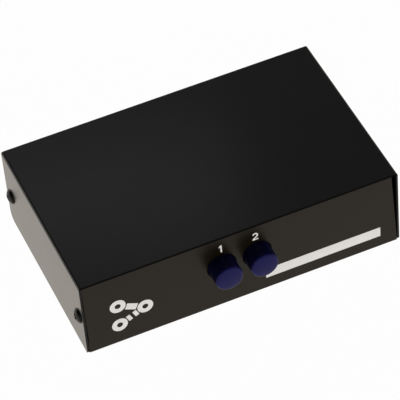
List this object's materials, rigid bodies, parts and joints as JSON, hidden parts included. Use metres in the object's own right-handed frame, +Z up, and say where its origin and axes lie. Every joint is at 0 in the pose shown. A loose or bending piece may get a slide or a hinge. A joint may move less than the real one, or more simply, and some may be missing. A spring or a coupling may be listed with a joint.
{
  "type": "audio video selector switch",
  "caption": "Low black sheet-steel box with latching round push buttons in front and rows of phono sockets behind, which switches one of several audio and video sources through",
  "frame": {"origin": "on the surface that the feet stand on, under the middle of the overall box", "axes": "seen from the front, +X to the right, +Y to the back, +Z up"},
  "size_m": [0.1332, 0.0958, 0.0378],
  "materials": {
    "black_paint": "satin black paint",
    "black_screw": "black zinc",
    "foot_rubber": "matt",
    "cap_violet": "moulded, smooth",
    "nylon_ivory": "moulded",
    "spring_steel": "drawn wire",
    "frame_steel": "zinc plated",
    "contact_brass": "bare",
    "tinned_pin": "tinned",
    "switch_black": "moulded",
    "board_green": "solder mask",
    "zinc_screw": "zinc plated",
    "housing_black": "moulded",
    "nickel": "nickel plated",
    "insulator_yellow": "moulded",
    "insulator_white": "moulded",
    "insulator_red": "moulded"
  },
  "bodies": {
    "case": {"top_cover": "black_paint", "tray": "black_paint", "cover_screws": "black_screw", "rubber_feet": "foot_rubber", "switch_frame": "frame_steel", "latch_spring": "spring_steel", "main_board": "board_green", "board_standoffs": "contact_brass", "board_screws": "zinc_screw", "video_insulators": "insulator_yellow", "left_insulators": "insulator_white", "right_insulators": "insulator_red", "return_spring_1": "spring_steel", "switch_body_1": "switch_black", "switch_pins_1": "tinned_pin", "return_spring_2": "spring_steel", "switch_body_2": "switch_black", "switch_pins_2": "tinned_pin", "jack_housing_in_1": "housing_black", "jack_sleeves_in_1": "nickel", "earth_strap_in_1": "tinned_pin", "centre_contacts_in_1": "contact_brass", "jack_housing_in_2": "housing_black", "jack_sleeves_in_2": "nickel", "earth_strap_in_2": "tinned_pin", "centre_contacts_in_2": "contact_brass", "jack_housing_out": "housing_black", "jack_sleeves_out": "nickel", "earth_strap_out": "tinned_pin", "centre_contacts_out": "contact_brass"},
    "button_1": {"button_cap_1": "cap_violet", "plunger_1": "nylon_ivory", "retaining_clip_1": "spring_steel", "sliding_contacts_1": "contact_brass"},
    "button_2": {"button_cap_2": "cap_violet", "plunger_2": "nylon_ivory", "retaining_clip_2": "spring_steel", "sliding_contacts_2": "contact_brass"},
    "latch": {"latch_plate": "frame_steel"}
  },
  "joints": [
    {"name": "button_1_press", "type": "slide", "parent": "case", "child": "button_1", "axis": [0, 1, 0], "range_m": [0, 0.0045], "stiffness_N_per_m": 600, "springref_m": -0.002, "deforming": ["return_spring_1"]},
    {"name": "button_2_press", "type": "slide", "parent": "case", "child": "button_2", "axis": [0, 1, 0], "range_m": [0, 0.0045], "stiffness_N_per_m": 600, "springref_m": -0.002, "deforming": ["return_spring_2"]},
    {"name": "latch_slide", "type": "slide", "parent": "case", "child": "latch", "axis": [1, 0, 0], "range_m": [0, 0.0012], "stiffness_N_per_m": 300, "springref_m": -0.001, "deforming": ["latch_spring"]}
  ],
  "couplings": [
    {"joint": "latch_slide", "follows": "button_1_press", "ratio": 0.26667}
  ]
}
